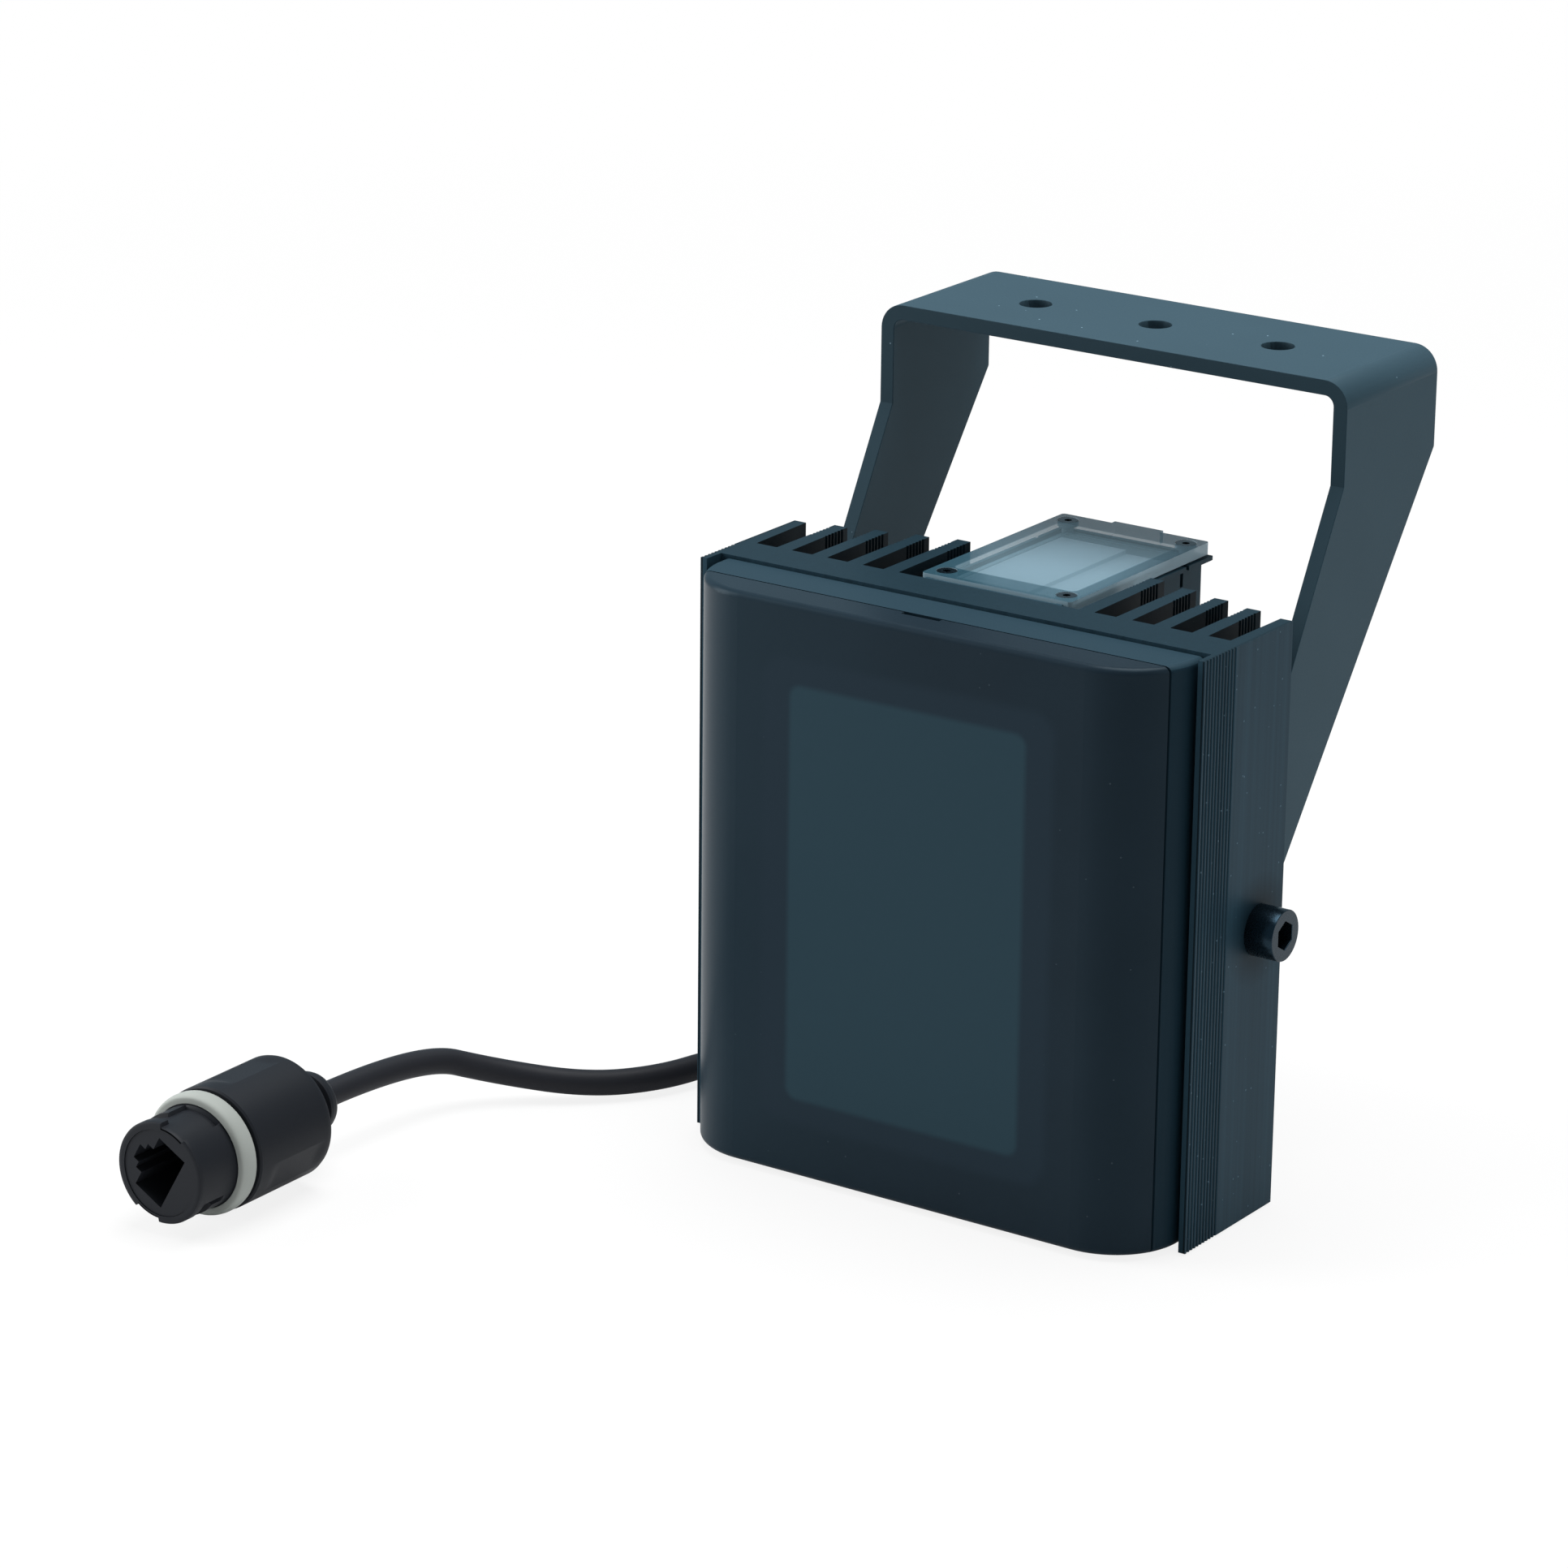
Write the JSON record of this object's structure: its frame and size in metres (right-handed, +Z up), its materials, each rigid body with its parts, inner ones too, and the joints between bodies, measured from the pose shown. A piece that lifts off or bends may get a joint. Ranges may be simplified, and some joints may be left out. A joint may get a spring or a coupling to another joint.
{
  "type": "infrared illuminator",
  "caption": "Finned infrared illuminator with a dark window, a clear-lidded driver box, a folded tilting bracket and a short lead with a weatherproof network socket.",
  "frame": {"origin": "under the middle of the unit and its bracket, on the surface the heatsink stands on, without the lead", "axes": "+X to the right for someone who faces the window, +Y from the window to the back, +Z up along the fins"},
  "size_m": [0.1787, 0.1954, 0.1556],
  "materials": {
    "sink_metal": "matte dark blue-grey anodised extrusion",
    "cover_coat": "satin dark blue-grey powder coat",
    "window_plastic": "near-black satin plastic that passes infrared only",
    "seal_rubber": "black sealing rubber",
    "thermal_pad": "grey heat-conducting pad",
    "board_white": "white solder mask on an aluminium board",
    "emitter": "infrared emitters with clear domes",
    "lens_clear": "clear acrylic collimating lenses",
    "holder_black": "black moulded lens holder",
    "screw_steel": "stainless machine screws",
    "pivot_screw": "dark-coated socket cap screws",
    "lead_wire": "thin insulated leads",
    "plug_white": "white board connector",
    "box_coat": "satin blue-grey powder coat",
    "lid_clear": "clear polycarbonate lid",
    "card": "pale blue-grey insulating card",
    "board_green": "green circuit board",
    "transformer": "taped transformer",
    "capacitor": "sleeved electrolytic capacitors",
    "terminal": "green screw terminals",
    "gland": "black nylon cable gland",
    "lead_sheath": "dark grey cable sheath",
    "connector": "dark grey moulded connector",
    "ring_silicone": "pale grey silicone ring",
    "socket_black": "black moulded jack insert",
    "contact_gold": "gold-plated spring contacts",
    "bracket_coat": "blue-grey powder coat with faint specks",
    "washer_nylon": "black nylon washers"
  },
  "bodies": {
    "unit": {"heatsink": "sink_metal", "cover_frame": "cover_coat", "front_window": "window_plastic", "cover_gasket": "seal_rubber", "window_seal": "seal_rubber", "lid_seal": "seal_rubber", "gland_seal": "seal_rubber", "lead_grommet": "seal_rubber", "gland_washer": "seal_rubber", "thermal_pad": "thermal_pad", "led_board": "board_white", "led_emitters": "emitter", "lens_plate": "lens_clear", "lens_holder": "holder_black", "board_screws": "screw_steel", "cover_screws": "screw_steel", "box_screws": "screw_steel", "lid_screws": "screw_steel", "led_leads": "lead_wire", "led_connector": "plug_white", "driver_box": "box_coat", "driver_lid": "lid_clear", "insulating_card": "card", "driver_board": "board_green", "driver_transformer": "transformer", "driver_capacitors": "capacitor", "output_terminal": "terminal", "input_terminal": "terminal", "gland_body": "gland", "gland_locknut": "gland", "gland_cap": "gland", "cable_tail": "lead_sheath", "pigtail_cable": "lead_sheath", "strain_relief": "connector", "connector_shell": "connector", "connector_ring": "ring_silicone", "connector_socket": "socket_black", "jack_contacts": "contact_gold"},
    "bracket": {"u_bracket": "bracket_coat", "pivot_nuts": "screw_steel", "pivot_washers": "washer_nylon", "pivot_screws": "pivot_screw"}
  },
  "joints": [
    {"name": "bracket_tilt", "type": "hinge", "parent": "unit", "child": "bracket", "pos_m": [0, -0.0161, 0.058], "axis": [1, 0, 0], "range_deg": [-80, 28]}
  ]
}
